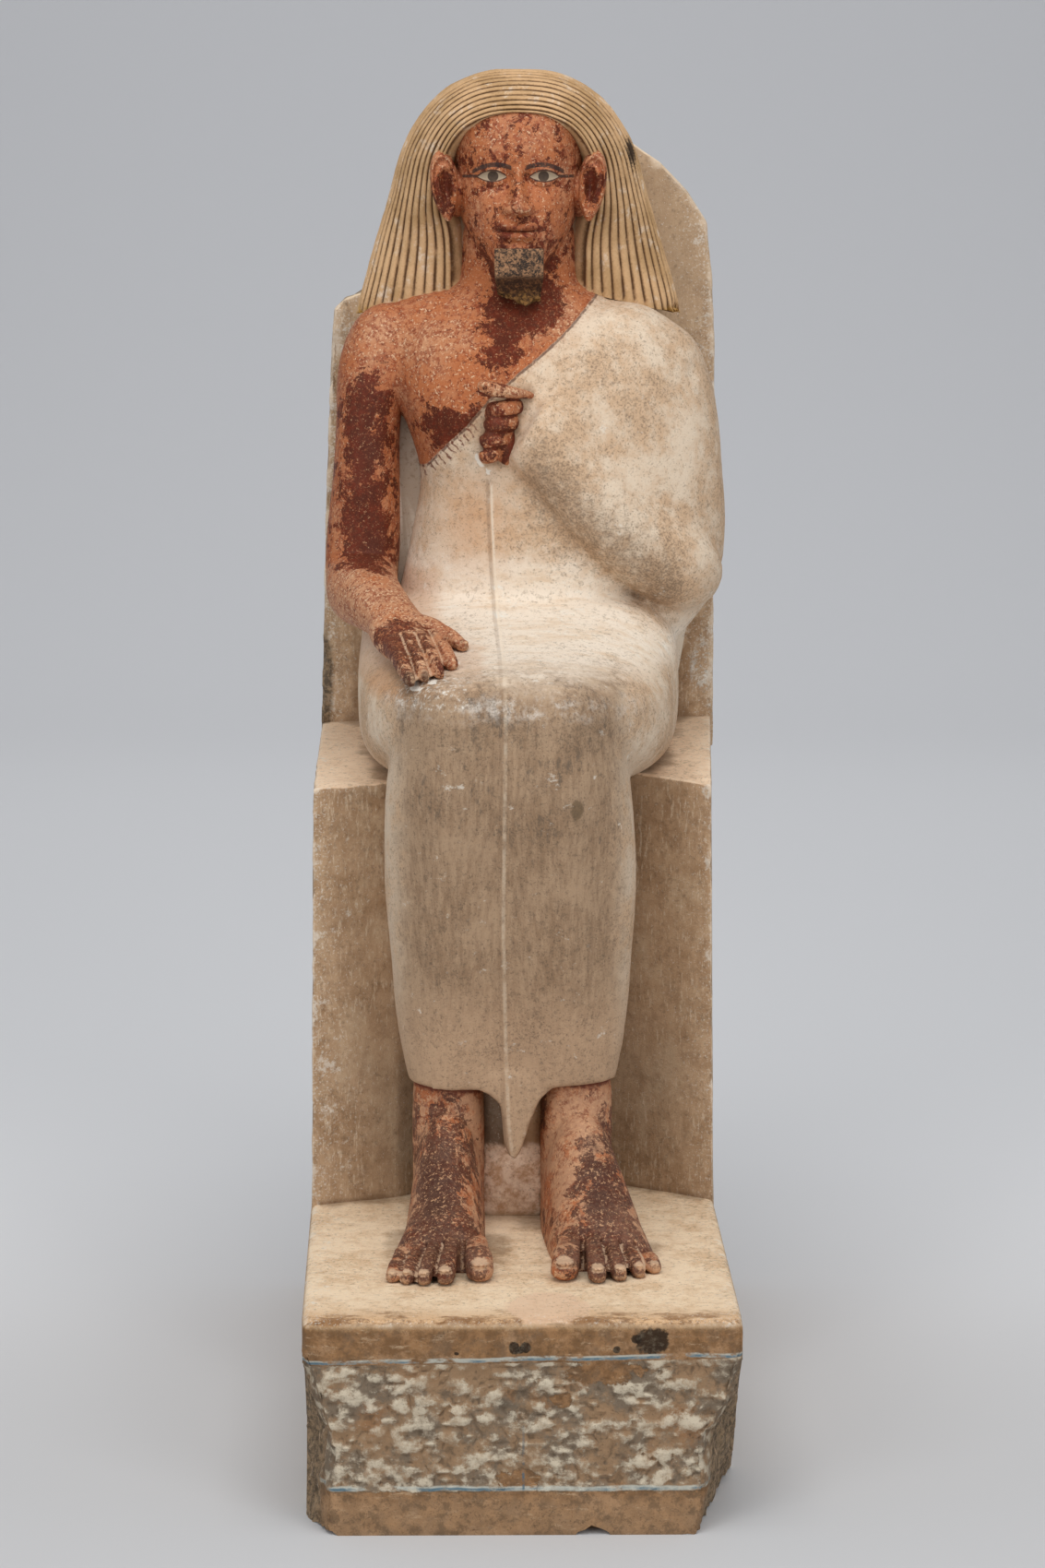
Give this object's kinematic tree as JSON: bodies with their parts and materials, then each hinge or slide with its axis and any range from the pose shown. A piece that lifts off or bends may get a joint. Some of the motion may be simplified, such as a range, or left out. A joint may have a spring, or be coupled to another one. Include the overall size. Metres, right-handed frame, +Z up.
{
  "type": "seated statue",
  "caption": "Painted limestone figure of a man in a long cloak and a shoulder-length wig, seated on a block seat with a high back slab and a deep base.",
  "frame": {"origin": "centre of the block's depth and near the middle of its width, on the underside", "axes": "+Z up, -Y towards the front of the figure, +X to its left, which is the viewer's right"},
  "size_m": [0.514, 0.93, 1.5822],
  "materials": {
    "painted_limestone": "matte"
  },
  "bodies": {
    "root": {"seated_statue": "painted_limestone"}
  },
  "joints": []
}
